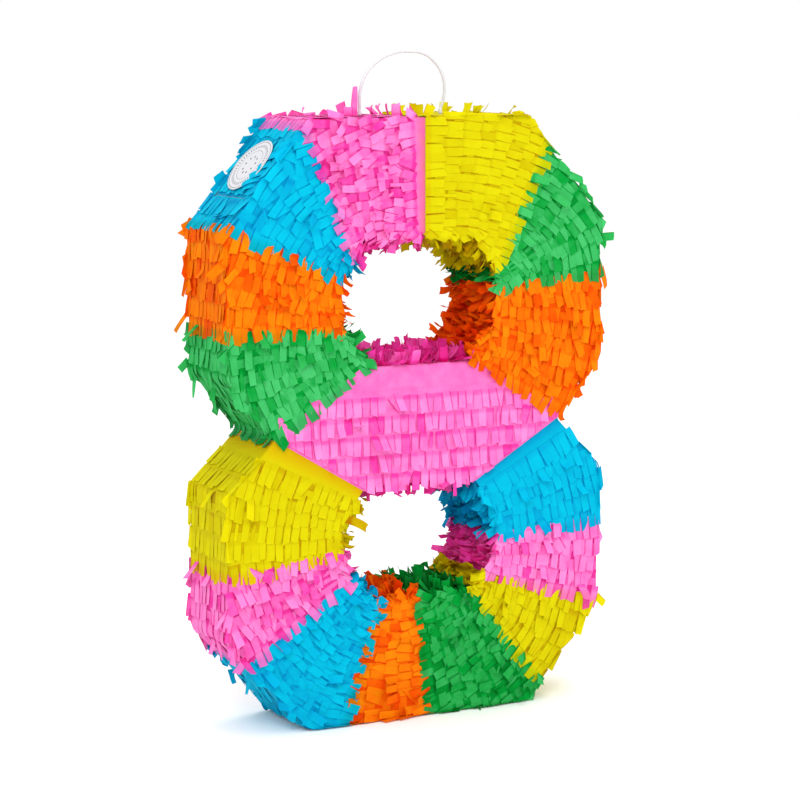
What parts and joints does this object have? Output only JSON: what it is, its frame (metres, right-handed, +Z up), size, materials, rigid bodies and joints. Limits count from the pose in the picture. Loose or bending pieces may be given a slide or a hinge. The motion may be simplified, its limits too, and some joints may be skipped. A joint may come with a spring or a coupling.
{
  "type": "figure-eight pinata",
  "caption": "Hollow card pinata shaped like the figure 8, wrapped in bands of fringed tissue paper, with a cord loop to hang it and a fill flap under a round label.",
  "frame": {"origin": "middle of the flat bottom face that the pinata stands on", "axes": "+X to the right seen from the front, front towards -Y, +Z up"},
  "size_m": [0.35, 0.08, 0.5512],
  "materials": {
    "corrugated_card": "matte",
    "white_cord": "satin",
    "label_paper": "satin",
    "blue_tissue": "matte",
    "pink_tissue": "matte",
    "yellow_tissue": "matte",
    "green_tissue": "matte",
    "orange_tissue": "matte"
  },
  "bodies": {
    "shell": {"front_panel": "corrugated_card", "back_panel": "corrugated_card", "left_band": "corrugated_card", "right_band": "corrugated_card", "upper_hole_band": "corrugated_card", "lower_hole_band": "corrugated_card", "anchor_card": "corrugated_card", "lap_card": "corrugated_card", "cord_ends": "white_cord", "base_paper": "orange_tissue", "blue_top_left": "blue_tissue", "pink_top": "pink_tissue", "yellow_top": "yellow_tissue", "green_upper_right": "green_tissue", "orange_right": "orange_tissue", "orange_left": "orange_tissue", "green_left": "green_tissue", "pink_waist": "pink_tissue", "yellow_left": "yellow_tissue", "pink_left": "pink_tissue", "blue_bottom_left": "blue_tissue", "orange_bottom": "orange_tissue", "green_bottom_right": "green_tissue", "yellow_right": "yellow_tissue", "pink_right": "pink_tissue", "blue_right": "blue_tissue"},
    "flap": {"fill_flap": "corrugated_card", "flap_paper": "blue_tissue", "fill_label": "label_paper"},
    "loop": {"hang_loop": "white_cord"}
  },
  "joints": [
    {"name": "flap_crease", "type": "hinge", "parent": "shell", "child": "flap", "pos_m": [-0.15078, 0, 0.43579], "axis": [0, -1, 0], "range_deg": [0, 110]},
    {"name": "loop_flop", "type": "hinge", "parent": "shell", "child": "loop", "pos_m": [0, 0, 0.502], "axis": [1, 0, 0], "range_deg": [-80, 80], "stiffness_Nm_per_rad": 0.01}
  ]
}
